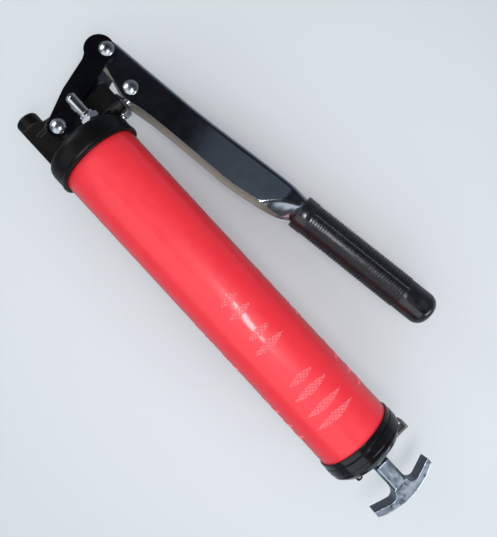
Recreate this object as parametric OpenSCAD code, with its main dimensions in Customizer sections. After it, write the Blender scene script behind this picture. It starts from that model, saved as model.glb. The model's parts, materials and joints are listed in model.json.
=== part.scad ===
// Lever grease gun, lying on its side as it would be put down on a bench.
//
// The gun is drawn upright in its own axes first: X runs down the barrel from
// the head casting to the T-handle, with 0 at the rim of the head casting, Y
// points from the barrel to the pump lever, and Z points out of the lever's
// side. placed() then rolls it onto the floor, so that the head casting, the
// end cap and the rubber grip touch Z = 0.

/* [Barrel] */
// Outside diameter of the barrel tube
barrel_d = 57; // [50:0.5:64]
// Wall of the barrel tube
barrel_wall = 1.2; // [0.8:0.1:2]
// Length of tube seen between the head casting and the end cap
barrel_len = 253.4; // [220:0.2:280]

/* [Head casting] */
// Length of the cup that holds the tube
cup_len = 16; // [15:0.5:22]
// Wall of the cup over the tube
cup_wall = 2.5; // [2:0.1:4]
// How far the outlet nose reaches in front of the cup's rim
nose_reach = 54; // [50:1:64]
// Radius of the outlet nose
nose_r = 8; // [7.5:0.1:9]
// Top of the pump boss above the barrel's axis
boss_top = 36.5; // [36:0.1:37]

/* [Pump] */
// Diameter of the plunger
plunger_d = 9.5; // [8:0.1:10]
// Distance of the plunger's axis in front of the cup's rim
pump_ahead = 20.5; // [20.5:0.1:21]
// Height of the plunger pin above the barrel's axis, lever closed
plunger_pin_y = 47.5; // [47.3:0.1:48]

/* [Lever] */
// Width of the lever channel over its cheeks
lever_w = 23; // [22:0.2:24]
// Sheet thickness of the lever
lever_wall = 1.6; // [1.2:0.1:2]
// Angle between the rubber grip and the barrel
grip_angle = 9; // [7:0.5:11]
// Length of the rubber grip
grip_len = 117; // [105:1:125]
// Diameter of the rubber grip over its ribs
grip_d = 25; // [23:0.5:27]

/* [Link] */
// Sheet thickness of the link
link_wall = 1.8; // [1.4:0.1:2.2]
// Gap between the lever's cheek and the link's cheek
link_gap = 0.3; // [0.2:0.05:0.5]

/* [T-handle] */
// Width of the T-handle across its horns
handle_w = 51.4; // [46:0.2:56]
// Thickness of the T-handle casting
handle_t = 12; // [10:0.5:13]
// Distance from the end cap's face to the far side of the T-handle
handle_reach = 38.3; // [37:0.1:42]

/* [Fits] */
// Radial clearance of a running fit
run_gap = 0.05; // [0.02:0.01:0.1]
// Radial clearance of a fixed fit
fix_gap = 0.02; // [0.01:0.01:0.05]

/* [Hidden] */
$fn = 72;
eps = 0.01;

// barrel and its seats
barrel_r = barrel_d / 2;
bore_r = barrel_r - barrel_wall;
cup_floor = -8;
gasket_t = 1.5;
tube_start = cup_floor + gasket_t;
tube_under_cap = 10.6;
tube_end = barrel_len + tube_under_cap;

// head casting
cup_r = barrel_r + cup_wall;
lip_r = cup_r + 0.5;
boss_x = -26.7;
boss_r = 13.8;
nose_y = -19;
nose_front = -nose_reach;
lug_half_w = lever_w / 2 + 0.1;
web_half_w = 9.5;
outlet_thread_r = 4.33;
outlet_thread_len = 11;

// linkage: A joins the link and the lever, B the lever and the plunger,
// C the head casting and the link
pump_x = -pump_ahead;
pivot_a = [-50, 53];
pivot_b = [pump_x, plunger_pin_y];
pivot_c = [-31, -6];
pin_a_r = 4;
pin_b_r = 3;
pin_c_r = 3.2;
dome_r = 5.2;
dome_h = 2.6;

// pump
plunger_r = plunger_d / 2;
plunger_bottom = -14;
pump_floor = -16.6;
gland_r = 6;
slot_half_x = 1.45;
slot_half_y = 0.36;

// lever and grip
lever_half_w = lever_w / 2;
grip_start = [117, 77.7];
grip_r = grip_d / 2;
tang_r = 6.5;
neck_r = 8.6;
tang_len = 95;
rib_count = 38;
rib_pitch = 2.1;

// link
link_in = lever_half_w + link_gap;
link_out = link_in + link_wall;
lobe = [-53, 49];
lobe_r = 10.3;
link_foot_r = 7.5;

// end cap, rod and T-handle
cap_face = barrel_len + 19.1;
cap_r = 29.9;
cap_wall = 4;
cap_inner_r = 24.5;
rod_r = 4;
stud_r = 2.5;
nut_stud_r = 3;
handle_pin_r = 1.25;
handle_x = cap_face + 8.5;
handle_far = cap_face + handle_reach;
handle_arc_r = 54;
shank_half_w = 6;
shank_half_t = handle_t / 2 - 0.2;
shank_r = 7;
scoop_r = 5;
scoop_x = handle_far - 11.5;
scoop_y = shank_half_w + 0.2 + scoop_r;
horn_lean = 18;

// latch
latch_x = cap_face + 1.7;
latch_t = 1.6;
latch_pin_y = -17;
latch_pin_r = 1.2;
latch_tab_y = 29.2;
latch_tab_len = 4.6;

// where the finished gun lies
roll = 11.9;
link_nose_x = lobe[0] - lobe_r;
shift_x = -(link_nose_x + handle_far) / 2;
grip_end_y = grip_start[1] + grip_len * sin(grip_angle);
shift_y = -(grip_end_y * cos(roll) + grip_r - 1.7 - lip_r) / 2;

// ---------------------------------------------------------------- helpers

// Rolls the upright gun onto the floor and centres it.
module placed() {
    translate([shift_x, shift_y, lip_r]) rotate([-roll, 0, 0]) children();
}

// Turns a shape drawn along +Z so that it runs along +X, -X or +Y.
module to_x() { rotate([0, 90, 0]) children(); }
module to_minus_x() { rotate([0, -90, 0]) children(); }
module to_y() { rotate([-90, 0, 0]) children(); }

// Solid of revolution about the barrel's axis from [radius, x] points.
module turned(points) {
    to_x() rotate_extrude() polygon(points);
}

// Ring between two x places.
module ring(outer, inner, x0, x1) {
    turned([[inner, x0], [outer, x0], [outer, x1], [inner, x1]]);
}

// A plate drawn in X and Y, from z = -half to z = half.
module slab(half) {
    translate([0, 0, -half]) linear_extrude(2 * half) children();
}

// Spherical cap that stands on z = 0.
module dome(base_r, height) {
    ball_r = (base_r * base_r + height * height) / (2 * height);
    intersection() {
        translate([0, 0, height - ball_r]) sphere(ball_r);
        translate([0, 0, height / 2])
            cube([2 * base_r + 1, 2 * base_r + 1, height], center = true);
    }
}

// Rivet along Z with a domed head at each end.
module rivet(shank_r, half_len, head_r, head_h) {
    cylinder(r = shank_r, h = 2 * half_len, center = true);
    for (side = [0, 1]) mirror([0, 0, side])
        translate([0, 0, half_len]) dome(head_r, head_h);
}

// Coil spring that stands on z = 0.
coil_steps = 12;
wire_sides = 6;
module coil(coil_r, wire_r, length, turns) {
    steps = turns * coil_steps;
    rise = (length - 2 * wire_r) / steps;
    points = [
        for (i = [0 : steps], k = [0 : wire_sides - 1])
            let (a = 360 * i / coil_steps, b = 360 * k / wire_sides)
            let (r = coil_r + wire_r * cos(b))
            [r * cos(a), r * sin(a), wire_r + rise * i + wire_r * sin(b)]
    ];
    start_cap = [for (k = [wire_sides - 1 : -1 : 0]) k];
    end_cap_face = [for (k = [0 : wire_sides - 1]) steps * wire_sides + k];
    sides = [
        for (i = [0 : steps - 1], k = [0 : wire_sides - 1])
            let (n = (k + 1) % wire_sides, w = wire_sides)
            [i * w + k, i * w + n, (i + 1) * w + n, (i + 1) * w + k]
    ];
    polyhedron(points, concat([start_cap], sides, [end_cap_face]), convexity = 10);
}

// ------------------------------------------------------------ head casting

boss_half_w = lug_half_w;
filler_y = 12.5;
filler_z = 19;
bleed_x = -11;
bleed_z = 6;
check_seat_x = -29;
check_r = 3.4;
cup_face = -cup_len;

module head_casting() {
    color([0.05, 0.05, 0.06]) difference() {
        head_body();
        // socket for the tube
        to_x() translate([0, 0, cup_floor])
            cylinder(r = barrel_r + run_gap, h = -cup_floor + 2);
        pump_bore();
        outlet_passage();
        // grease inlet from the barrel to the pump
        to_x() translate([0, 0, pump_x])
            cylinder(r = 2.5, h = cup_floor - pump_x + eps);
        // filler passage
        translate([cup_face - 1, filler_y, filler_z]) to_x()
            cylinder(r = 1.5, h = cup_len + 1 + cup_floor + eps);
        bleed_passage();
        // link rivet
        translate([pivot_c[0], pivot_c[1], 0])
            cylinder(r = pin_c_r + fix_gap, h = 60, center = true);
    }
}

// Outside of the casting: cup, pump boss, outlet nose, rivet lug and webs.
module head_body() {
    turned([
        [0, cup_face], [27.5, cup_face], [29.6, cup_face + 1], [30.7, cup_face + 3],
        [cup_r, cup_face + 5.5], [cup_r, -1.6], [lip_r, -1.2], [lip_r, 1], [0, 1]
    ]);
    // pump boss: a round casting with flattened sides
    intersection() {
        translate([boss_x, -20, 0]) to_y() cylinder(r = boss_r, h = boss_top + 20);
        translate([boss_x, 0, 0])
            cube([60, 2 * boss_top, 2 * boss_half_w], center = true);
    }
    // outlet nose with a chamfered front
    translate([nose_front, nose_y, 0]) to_x() {
        cylinder(r1 = nose_r - 1, r2 = nose_r, h = 1);
        translate([0, 0, 1]) cylinder(r = nose_r, h = nose_reach - 16);
    }
    // lug for the link rivet
    translate([pivot_c[0], pivot_c[1], 0])
        cylinder(r = 9, h = 2 * lug_half_w, center = true);
    // web between the cup, the boss and the nose
    slab(web_half_w) polygon([
        [cup_face + 1, -26.6], [nose_front + 9, -26.6], [nose_front + 9, -16],
        [-42, -11], [-40, 4], [-39.5, 24], [cup_face + 1, 30]
    ]);
}

module pump_bore() {
    translate([pump_x, pump_floor, 0]) to_y() {
        cylinder(r = plunger_r + run_gap, h = 60);
        // seat of the plunger seal and thread of the gland nut
        translate([0, 0, boss_top - pump_floor - 9])
            cylinder(r = gland_r + fix_gap, h = 20);
    }
    // port from the pump floor to the check valve
    translate([pump_x, nose_y, 0]) to_y() cylinder(r = 1.5, h = 4);
}

module outlet_passage() {
    translate([pump_x, nose_y, 0]) to_minus_x() cylinder(r = 1.5, h = 20);
    translate([check_seat_x, nose_y, 0]) to_minus_x() {
        cylinder(r = check_r, h = 40);
        translate([0, 0, nose_reach + check_seat_x - outlet_thread_len])
            cylinder(r = outlet_thread_r, h = 20);
    }
}

bleed_seat_y = 23;
module bleed_passage() {
    translate([bleed_x, bleed_seat_y, bleed_z]) to_y() cylinder(r = 1.9 + fix_gap, h = 20);
    // cross hole to the grease space, below the valve
    translate([bleed_x, 21, bleed_z]) to_y() cylinder(r = 0.8, h = 4);
    translate([bleed_x, 21.8, bleed_z]) to_x() cylinder(r = 0.8, h = 6);
}

// ------------------------------------------------------- barrel and end cap

module barrel_gasket() {
    color("black") ring(barrel_r, bore_r, cup_floor, tube_start);
}

module barrel_tube() {
    color([0.85, 0.06, 0.08]) ring(barrel_r, bore_r, tube_start, tube_end);
}

// Two bands with a groove between them, a step, a tapered end and a bored end wall.
module end_cap() {
    inner_r = barrel_r + run_gap;
    b = barrel_len;
    color([0.04, 0.04, 0.05]) difference() {
        turned([
            [0, b], [29.5, b], [29.7, b + 0.5], [29.7, b + 3.6], [29.1, b + 4],
            [29.1, b + 4.5], [cap_r, b + 5], [cap_r, b + 9.6], [29.3, b + 10.2],
            [29.3, b + 12.9], [28.9, b + 13.5], [25.4, b + 17], [21, cap_face],
            [0, cap_face]
        ]);
        to_x() translate([0, 0, b - 1]) cylinder(r = inner_r, h = tube_under_cap + 1.4);
        to_x() translate([0, 0, b]) cylinder(r = cap_inner_r, h = cap_face - b - cap_wall);
        to_x() translate([0, 0, b]) cylinder(r = 6, h = 40);
    }
    // two ears that carry the latch pin
    color([0.04, 0.04, 0.05]) for (side = [-1, 1]) difference() {
        translate([cap_face - 0.5, latch_pin_y - 2.4, side * 6.5 - 1.25])
            cube([5.4, 4.8, 2.5]);
        translate([latch_x + latch_t / 2, latch_pin_y, 0])
            cylinder(r = latch_pin_r + fix_gap, h = 30, center = true);
    }
}

module rod_bush() {
    color("silver") {
        ring(6 - fix_gap, rod_r + run_gap, cap_face - cap_wall, cap_face + 0.9);
        ring(9, rod_r + run_gap, cap_face - cap_wall - 2, cap_face - cap_wall);
    }
}

module spring_seat() {
    color("silver") ring(cap_inner_r - 0.5, 18, cap_face - cap_wall - 1.6, cap_face - cap_wall);
}

// ---------------------------------------------------------------- follower

stack_x = 0;
washer_t = 2;
seal_t = 6;
plate_t = 2.5;
shoulder_x = stack_x + washer_t + seal_t + plate_t + 0.1;
spring_far = cap_face - cap_wall - 1.6;

// Rod with a stud at each end: the front one holds the follower, the rear one
// the T-handle.
module follower_rod() {
    color("silver") difference() {
        turned([
            [0, -6.5], [nut_stud_r, -6.5], [nut_stud_r, shoulder_x], [rod_r, shoulder_x],
            [rod_r, handle_x - 0.1], [stud_r, handle_x - 0.1], [stud_r, handle_x + 9],
            [0, handle_x + 9]
        ]);
        handle_pin_hole();
    }
}

// Cross hole for the pin that holds the T-handle on the rod.
module handle_pin_hole() {
    translate([handle_x + 5, 0, 0]) to_y()
        cylinder(r = handle_pin_r + fix_gap, h = 30, center = true);
}

module rod_nut() {
    color("silver") difference() {
        to_x() translate([0, 0, -5]) cylinder(r = 5.77, h = 4.9, $fn = 6);
        to_x() translate([0, 0, -10]) cylinder(r = nut_stud_r + fix_gap, h = 20);
    }
}

module follower_washer() {
    color("silver") ring(20, nut_stud_r + run_gap, stack_x, stack_x + washer_t);
}

// Rubber cup with a lip that wipes the bore.
module follower_seal() {
    x0 = stack_x + washer_t;
    lip = bore_r - run_gap;
    color("black") turned([
        [nut_stud_r + run_gap, x0], [21, x0], [25.2, x0 - 4], [lip, x0 - 4.6],
        [lip, x0 + 1], [25.5, x0 + seal_t], [nut_stud_r + run_gap, x0 + seal_t]
    ]);
}

module follower_plate() {
    x0 = stack_x + washer_t + seal_t;
    color("silver") turned([
        [nut_stud_r + run_gap, x0], [24.6, x0], [24.6, x0 + plate_t + 3],
        [23.4, x0 + plate_t + 3], [23.4, x0 + plate_t], [nut_stud_r + run_gap, x0 + plate_t]
    ]);
}

module follower_spring() {
    x0 = stack_x + washer_t + seal_t + plate_t + 0.05;
    color("gray") translate([x0, 0, 0]) to_x()
        coil(21.5, 1.2, spring_far - 0.05 - x0, 14);
}

// ---------------------------------------------------------------- T-handle

// Space under one horn: a round corner at the shank that runs out past the
// horn's tip.
module handle_scoop() {
    translate([scoop_x, scoop_y]) {
        circle(scoop_r);
        rotate(90 + horn_lean) translate([0, -scoop_r]) square([40, 2 * scoop_r]);
    }
}

module handle_outline() {
    difference() {
        intersection() {
            translate([handle_far - handle_arc_r, 0]) circle(handle_arc_r, $fn = 180);
            translate([scoop_x, -handle_w / 2]) square([60, handle_w]);
        }
        handle_scoop();
        mirror([0, 1]) handle_scoop();
    }
}

// Flattened round shank that carries the two horns.
module t_handle() {
    color([0.72, 0.73, 0.75]) difference() {
        union() {
            slab(handle_t / 2) handle_outline();
            intersection() {
                to_x() translate([0, 0, handle_x]) cylinder(r = shank_r, h = scoop_x + 1 - handle_x);
                translate([handle_x - 1, -shank_half_w, -shank_half_t])
                    cube([60, 2 * shank_half_w, 2 * shank_half_t]);
            }
        }
        to_x() translate([0, 0, handle_x - 1]) cylinder(r = stud_r + fix_gap, h = 10.2);
        handle_pin_hole();
    }
}

module handle_pin() {
    color("silver") translate([handle_x + 5, 0, 0]) to_y()
        cylinder(r = handle_pin_r, h = 2 * shank_half_w - 0.4, center = true);
}

// ------------------------------------------------------------------- latch

module latch_plate() {
    color([0.6, 0.6, 0.58]) difference() {
        union() {
            translate([latch_x, 0, 0]) to_x() cylinder(r = 9, h = latch_t);
            translate([latch_x, latch_pin_y, -5]) cube([latch_t, latch_tab_y - latch_pin_y, 10]);
            // tab bent back over the rim of the end cap
            translate([latch_x - latch_tab_len, latch_tab_y, -5])
                cube([latch_tab_len + latch_t, latch_t, 10]);
            // rolled eye
            translate([latch_x + latch_t / 2, latch_pin_y, 0])
                cylinder(r = 2.1, h = 10, center = true);
        }
        to_x() translate([0, 0, latch_x - 1]) cylinder(r = rod_r + 0.35, h = 4);
        translate([latch_x + latch_t / 2, latch_pin_y, 0])
            cylinder(r = latch_pin_r + run_gap, h = 30, center = true);
    }
}

module latch_pin() {
    color("silver") translate([latch_x + latch_t / 2, latch_pin_y, 0])
        cylinder(r = latch_pin_r, h = 16.4, center = true);
}

module latch_spring() {
    color("gray") translate([cap_face + 0.02, 0, 0]) to_x() coil(7.3, 0.2, 1.66, 1.5);
}

// -------------------------------------------------------------------- link

module link_outline() {
    translate(lobe) circle(lobe_r);
    translate(pivot_c) circle(link_foot_r);
    polygon([
        [-38.2, -8], [-48, 13], [-55, 36], [-59.5, 43], [-44, 52],
        [-41.5, 43], [-39.5, 38], [-33.5, 14], [-24, -3.2]
    ]);
}

module link() {
    color([0.16, 0.16, 0.18]) difference() {
        union() {
            for (side = [0, 1]) mirror([0, 0, side])
                translate([0, 0, link_in]) linear_extrude(link_wall) link_outline();
            // web along the front edge
            slab(link_in + eps) polygon([
                [-46.6, 10], [-55, 36], [-55 + link_wall, 36], [-46.6 + link_wall, 10]
            ]);
        }
        translate([pivot_c[0], pivot_c[1], 0])
            cylinder(r = pin_c_r + run_gap, h = 60, center = true);
        translate([pivot_a[0], pivot_a[1], 0])
            cylinder(r = pin_a_r + fix_gap, h = 60, center = true);
    }
}

module link_rivet() {
    color("silver") translate([pivot_c[0], pivot_c[1], 0])
        rivet(pin_c_r, link_out + 0.05, dome_r, dome_h);
}

module lever_rivet() {
    color("silver") translate([pivot_a[0], pivot_a[1], 0])
        rivet(pin_a_r, link_out, dome_r, dome_h);
}

module plunger_rivet() {
    color("silver") translate([pivot_b[0], pivot_b[1], 0])
        rivet(pin_b_r, lever_half_w, dome_r, dome_h - 0.2);
}

// ------------------------------------------------------------------- lever

// Side outline of the lever: top edge, then lower edge, moved in by a wall.
module lever_side(inset) {
    polygon([
        [-47, 61.3 - inset], [-18, 65.3 - inset], [25, 71.3 - inset], [74, 80 - inset],
        [100, 83.6 - inset], [100, 58.6 - 3 * inset], [81, 55 - 3 * inset],
        [47, 50 - 3 * inset], [4, 44.6 - 3 * inset], [-15, 40.6 - 3 * inset],
        [-19.6, 39.6 - 3 * inset], [-32.4, 42.2 - 3 * inset], [-47, 45 - 3 * inset]
    ]);
}

// Places a shape on the axis of the grip, which runs along +X there.
module on_grip_axis() {
    translate([grip_start[0], grip_start[1], 0]) rotate([0, 0, grip_angle]) children();
}

// Neck that closes the channel down to the round tang, thinner by inset.
module lever_neck(inset) {
    hull() {
        translate([98, 59 + inset, -lever_half_w + inset])
            cube([0.5, 24.2 - 2 * inset, 2 * (lever_half_w - inset)]);
        // the cavity ends a sheet's thickness short of the tang
        on_grip_axis() translate([-1 - inset, 0, 0]) to_x()
            cylinder(r = neck_r - inset, h = 1, $fn = 32);
    }
}

module lever() {
    inner_half_w = lever_half_w - lever_wall;
    color([0.55, 0.57, 0.6]) difference() {
        union() {
            slab(lever_half_w) lever_side(0);
            translate([pivot_a[0], pivot_a[1], 0])
                cylinder(r = 8.6, h = lever_w, center = true);
            lever_neck(0);
            on_grip_axis() translate([-0.5, 0, 0]) to_x()
                cylinder(r = tang_r, h = tang_len + 0.5);
        }
        // inside of the channel, open towards the barrel and at the front
        slab(inner_half_w) lever_side(lever_wall);
        slab(inner_half_w) translate([-60, 40]) square([15, 21.3 - lever_wall]);
        lever_neck(lever_wall);
        translate([pivot_a[0], pivot_a[1], 0])
            cylinder(r = pin_a_r + run_gap, h = 60, center = true);
        translate([pivot_b[0], pivot_b[1], 0])
            cylinder(r = pin_b_r + fix_gap, h = 60, center = true);
    }
}

// Ribbed rubber sleeve: collar, ribs, then a smooth rounded end.
module lever_grip() {
    collar = 10;
    ribs_end = collar + rib_count * rib_pitch;
    groove_r = grip_r - 0.8;
    end_r = grip_r - 0.4;
    ribs = [
        for (i = [0 : rib_count - 1])
            let (x = collar + i * rib_pitch)
            each [[groove_r, x], [groove_r, x + 0.8], [grip_r, x + 1], [grip_r, x + 1.9]]
    ];
    round_end = [
        for (a = [0 : 15 : 90]) [end_r - 8 + 8 * cos(a), grip_len - 8 + 8 * sin(a)]
    ];
    outline = concat(
        [[0, 0], [grip_r - 0.6, 0], [grip_r, 0.6], [grip_r, collar - 0.1]],
        ribs, [[end_r, ribs_end]], round_end, [[0, grip_len]]
    );
    color([0.06, 0.06, 0.06]) on_grip_axis() difference() {
        turned(outline);
        translate([-1, 0, 0]) to_x() cylinder(r = tang_r + fix_gap, h = tang_len + 1.1);
    }
}

// -------------------------------------------------------------------- pump

module plunger() {
    head_half_x = pin_b_r + slot_half_x + 2.6;
    slot_r = pin_b_r + slot_half_y;
    color("silver") difference() {
        union() {
            translate([pump_x, plunger_bottom, 0]) to_y()
                cylinder(r = plunger_r, h = plunger_pin_y - plunger_bottom);
            translate([pump_x - head_half_x, plunger_pin_y - 6, -plunger_r + 0.1])
                cube([2 * head_half_x, 12, 2 * plunger_r - 0.2]);
        }
        // slotted eye for the plunger rivet
        for (side = [-1, 1]) translate([pump_x + side * slot_half_x, plunger_pin_y, 0])
            cylinder(r = slot_r, h = 30, center = true);
        translate([pump_x - slot_half_x, plunger_pin_y - slot_r + 0.02, -15])
            cube([2 * slot_half_x, 2 * slot_r - 0.04, 30]);
    }
}

module gland_nut() {
    color([0.3, 0.3, 0.32]) difference() {
        translate([pump_x, boss_top - 5, 0]) to_y() {
            cylinder(r = gland_r, h = 5);
            translate([0, 0, 5]) cylinder(r = 7.4, h = 2.5, $fn = 6);
        }
        translate([pump_x, 0, 0]) to_y() cylinder(r = plunger_r + run_gap, h = 60);
    }
}

module plunger_seal() {
    color("black") translate([pump_x, boss_top - 9, 0]) to_y() difference() {
        cylinder(r = gland_r - 0.05, h = 3.95);
        translate([0, 0, -1]) cylinder(r = plunger_r + run_gap, h = 8);
    }
}

// ------------------------------------------------------------- check valve

check_ball_r = 2.4;
check_ball_x = check_seat_x - sqrt(check_ball_r * check_ball_r - 1.5 * 1.5) - 0.03;
retainer_x = nose_front + outlet_thread_len;

module check_ball() {
    color("silver") translate([check_ball_x, nose_y, 0]) sphere(check_ball_r);
}

module check_spring() {
    x0 = check_ball_x - check_ball_r - 0.03;
    color("gray") translate([x0, nose_y, 0]) to_minus_x()
        coil(1.9, 0.25, x0 - retainer_x - 2.55, 5);
}

module check_retainer() {
    color("silver") translate([retainer_x + 2.5, nose_y, 0]) to_minus_x() difference() {
        cylinder(r = check_r - fix_gap, h = 2.5);
        translate([0, 0, -1]) cylinder(r = 1.4, h = 5);
    }
}

// ---------------------------------------------------------- filler fitting

filler_len = 22;
filler_body_r = 4;
filler_bore_r = 2.1;
filler_ball_r = 1.8;
filler_seat_r = 1.3;
filler_seat_x = cup_face - filler_len + 1.5;
filler_ball_x = filler_seat_x + sqrt(filler_ball_r * filler_ball_r
    - filler_seat_r * filler_seat_r) + 0.03;

module at_filler(x) {
    translate([x, filler_y, filler_z]) to_minus_x() children();
}

module filler_fitting() {
    color([0.78, 0.79, 0.82]) difference() {
        at_filler(cup_face) {
            cylinder(r = 6.93, h = 4, $fn = 6);
            translate([0, 0, 4]) cylinder(r = 5.1, h = 2.6);
            translate([0, 0, 6.6]) cylinder(r = filler_body_r, h = filler_len - 7);
            translate([0, 0, filler_len - 0.4])
                cylinder(r1 = filler_body_r, r2 = filler_body_r - 0.4, h = 0.4);
        }
        at_filler(cup_face + 1) cylinder(r = 1.2, h = 6);
        at_filler(cup_face - 2) cylinder(r = filler_bore_r, h = filler_len - 3.5);
        at_filler(cup_face - 2) cylinder(r = filler_seat_r, h = filler_len);
    }
}

module filler_ball() {
    color("silver") at_filler(filler_ball_x) sphere(filler_ball_r);
}

module filler_spring() {
    x0 = cup_face - 2.03;
    back = filler_ball_x + filler_ball_r + 0.03;
    color("gray") at_filler(x0) coil(1.55, 0.25, x0 - back, 5);
}

// ------------------------------------------------------------- bleed valve

bleed_hex_y = 31.2;
bleed_hex_h = 5.6;

module at_bleed(y) {
    translate([bleed_x, y, bleed_z]) to_y() children();
}

module bleed_valve() {
    color([0.85, 0.85, 0.87]) difference() {
        union() {
            at_bleed(bleed_seat_y) cylinder(r = 1.9, h = bleed_hex_y - bleed_seat_y);
            at_bleed(bleed_hex_y) cylinder(r = 3.1, h = bleed_hex_h, $fn = 6);
        }
        at_bleed(bleed_seat_y - 1) cylinder(r = 0.7, h = 20);
        at_bleed(bleed_hex_y + 1) cylinder(r = 1.5, h = 10);
    }
}

module bleed_stem() {
    color("silver") {
        at_bleed(bleed_hex_y - 4) cylinder(r = 0.65, h = 6.5 + bleed_hex_h - 2);
        at_bleed(bleed_hex_y + bleed_hex_h - 0.4) cylinder(r = 1.4, h = 1.6);
    }
}

module bleed_spring() {
    color("gray") at_bleed(bleed_hex_y + 1.02) coil(1.1, 0.15, bleed_hex_h - 1.46, 3);
}

// ------------------------------------------------------------------ output

placed() head_casting();
placed() barrel_gasket();
placed() barrel_tube();
placed() end_cap();
placed() rod_bush();
placed() spring_seat();
placed() follower_rod();
placed() rod_nut();
placed() follower_washer();
placed() follower_seal();
placed() follower_plate();
placed() follower_spring();
placed() t_handle();
placed() handle_pin();
placed() latch_plate();
placed() latch_pin();
placed() latch_spring();
placed() link();
placed() link_rivet();
placed() lever();
placed() lever_rivet();
placed() plunger_rivet();
placed() lever_grip();
placed() plunger();
placed() gland_nut();
placed() plunger_seal();
placed() check_ball();
placed() check_spring();
placed() check_retainer();
placed() filler_fitting();
placed() filler_ball();
placed() filler_spring();
placed() bleed_valve();
placed() bleed_stem();
placed() bleed_spring();
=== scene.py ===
"""Looks of the lever grease gun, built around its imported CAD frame.

Shapes are drawn in millimetres in the gun's own axes: x runs down the barrel
from the rim of the head casting to the T-handle, y points from the barrel to
the lever, and z out of the lever's side. GUN carries them into the row frame.
"""

import json
import math

import bmesh
import bpy
from mathutils import Matrix, Vector


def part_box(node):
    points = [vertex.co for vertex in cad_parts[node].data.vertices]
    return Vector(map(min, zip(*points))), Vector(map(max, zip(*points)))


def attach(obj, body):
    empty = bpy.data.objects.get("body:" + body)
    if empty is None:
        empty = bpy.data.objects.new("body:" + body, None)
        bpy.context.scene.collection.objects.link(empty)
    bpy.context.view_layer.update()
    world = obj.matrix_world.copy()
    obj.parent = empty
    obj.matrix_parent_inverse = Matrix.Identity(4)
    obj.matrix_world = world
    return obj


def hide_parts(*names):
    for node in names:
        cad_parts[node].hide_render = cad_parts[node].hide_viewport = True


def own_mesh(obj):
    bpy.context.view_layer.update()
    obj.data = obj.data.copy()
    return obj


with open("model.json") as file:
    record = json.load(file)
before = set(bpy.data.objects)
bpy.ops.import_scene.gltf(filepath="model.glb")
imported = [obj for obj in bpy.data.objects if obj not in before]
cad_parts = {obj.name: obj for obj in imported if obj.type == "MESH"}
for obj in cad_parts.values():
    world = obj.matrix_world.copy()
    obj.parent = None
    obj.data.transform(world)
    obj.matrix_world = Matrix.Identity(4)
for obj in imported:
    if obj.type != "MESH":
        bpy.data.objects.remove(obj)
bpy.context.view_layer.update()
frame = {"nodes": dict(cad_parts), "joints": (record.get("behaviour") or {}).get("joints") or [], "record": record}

# ------------------------------------------------------------ places and sizes

MM = 0.001
JOINTS = {joint["name"]: joint for joint in frame["joints"]}
NODES = frame["nodes"]

tube_low, tube_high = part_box("barrel_tube")
hinge = JOINTS["lever_pivot"]["axis"]
ROLL = math.atan2(hinge[1], hinge[2])
RIM_LIP = 1.0
ORIGIN = Vector((
    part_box("head_casting")[1][0] - RIM_LIP * MM,
    (tube_low[1] + tube_high[1]) / 2,
    (tube_low[2] + tube_high[2]) / 2,
))
UPRIGHT = Matrix.Translation(ORIGIN) @ Matrix.Rotation(-ROLL, 4, "X")
GUN = UPRIGHT @ Matrix.Scale(MM, 4)
SIDEWAYS = UPRIGHT.to_3x3() @ Vector((0, 0, 1))


def in_gun(point):
    """A point of the row frame, in metres, in the gun's axes, in millimetres."""
    return GUN.inverted() @ Vector(point)


def middle(node):
    """Middle of a node's box, in the gun's axes."""
    low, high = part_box(node)
    return in_gun([(a + b) / 2 for a, b in zip(low, high)])


BARREL_R = (tube_high[2] - tube_low[2]) / 2 / MM
BARREL_WALL = 1.2
BORE_R = BARREL_R - BARREL_WALL
TUBE_START = in_gun(tube_low).x
TUBE_END = in_gun(tube_high).x
CAP_START = in_gun(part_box("end_cap")[0]).x
CAP_DEPTH = 19.1
CAP_FACE = CAP_START + CAP_DEPTH
PIN_A = in_gun(JOINTS["lever_pivot"]["pos_m"])
PIN_C = in_gun(JOINTS["link_swing"]["pos_m"])
PIN_B = middle("plunger_rivet")
LATCH_PIN = in_gun(JOINTS["latch_tilt"]["pos_m"])
LEVER_HALF = 11.5
LINK_GAP = 0.3
LINK_WALL = 1.8
LINK_OUT = LEVER_HALF + LINK_GAP + LINK_WALL

# -------------------------------------------------------------------- camera

CAMERA_RIGHT = (0.678, 0.735)  # along the barrel, and across it to the lever
CAMERA_X = CAP_START - 130.6  # the camera stands over this place of the barrel
CAMERA_SIDE = 24.0
CAMERA_HEIGHT = 358.8
CAMERA_ROLL = math.radians(6.0)  # how far the lever leans away from the camera
FOCAL_PER_LONG_SIDE = 524 / 537
SENSOR = 36.0


def add_camera():
    data = bpy.data.cameras.new("camera")
    data.sensor_width = SENSOR
    data.lens = FOCAL_PER_LONG_SIDE * SENSOR
    data.clip_start = 0.01
    camera = bpy.data.objects.new("camera", data)
    bpy.context.scene.collection.objects.link(camera)
    cos_r, sin_r = math.cos(CAMERA_ROLL), math.sin(CAMERA_ROLL)
    along = Vector((1, 0, 0))
    across = Vector((0, cos_r, sin_r))
    back = Vector((0, -sin_r, cos_r))
    place = Vector((CAMERA_X, 0, 0)) + CAMERA_SIDE * across + CAMERA_HEIGHT * back
    right = CAMERA_RIGHT[0] * along + CAMERA_RIGHT[1] * across
    up = back.cross(right).normalized()
    right = up.cross(back)
    turn = Matrix((right, up, back)).transposed().to_4x4()
    matrix = UPRIGHT @ Matrix.Translation(place * MM) @ turn
    camera.matrix_world = matrix
    bpy.context.scene.camera = camera


# ------------------------------------------------------------------ materials

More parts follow.
